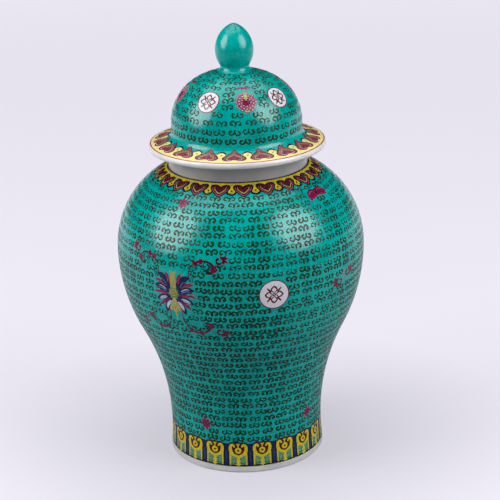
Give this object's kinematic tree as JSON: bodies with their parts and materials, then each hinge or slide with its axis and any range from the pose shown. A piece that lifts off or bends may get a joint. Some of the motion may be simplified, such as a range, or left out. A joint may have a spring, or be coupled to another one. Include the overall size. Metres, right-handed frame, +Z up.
{
  "type": "ginger jar",
  "caption": "Covered porcelain jar of baluster shape with an enamelled outside, a white neck, and a flared domed lid with a bud knob.",
  "frame": {"origin": "on the ground at the centre of the foot ring", "axes": "+Z up along the axis of the jar; +X to the right and -Y towards the side that faces the viewer"},
  "size_m": [0.224, 0.224, 0.4],
  "materials": {
    "turquoise_enamel": "gloss",
    "white_glaze": "gloss",
    "biscuit": "matte",
    "yellow_enamel": "gloss",
    "olive_enamel": "gloss",
    "maroon_enamel": "gloss",
    "magenta_enamel": "gloss",
    "navy_enamel": "gloss",
    "iron_red": "gloss",
    "white_enamel": "gloss"
  },
  "bodies": {
    "jar": {"foot_ring": "white_glaze", "base_disc": "white_glaze", "lower_body": "turquoise_enamel", "upper_body": "turquoise_enamel", "neck": "white_glaze"},
    "lid": {"lid_brim": "white_glaze", "lid_locating_rim": "biscuit", "lid_dome": "turquoise_enamel", "lid_knob": "turquoise_enamel"}
  },
  "joints": [
    {"name": "lid_lift", "type": "slide", "parent": "jar", "child": "lid", "axis": [0, 0, 1], "range_m": [0, 0.15]}
  ]
}
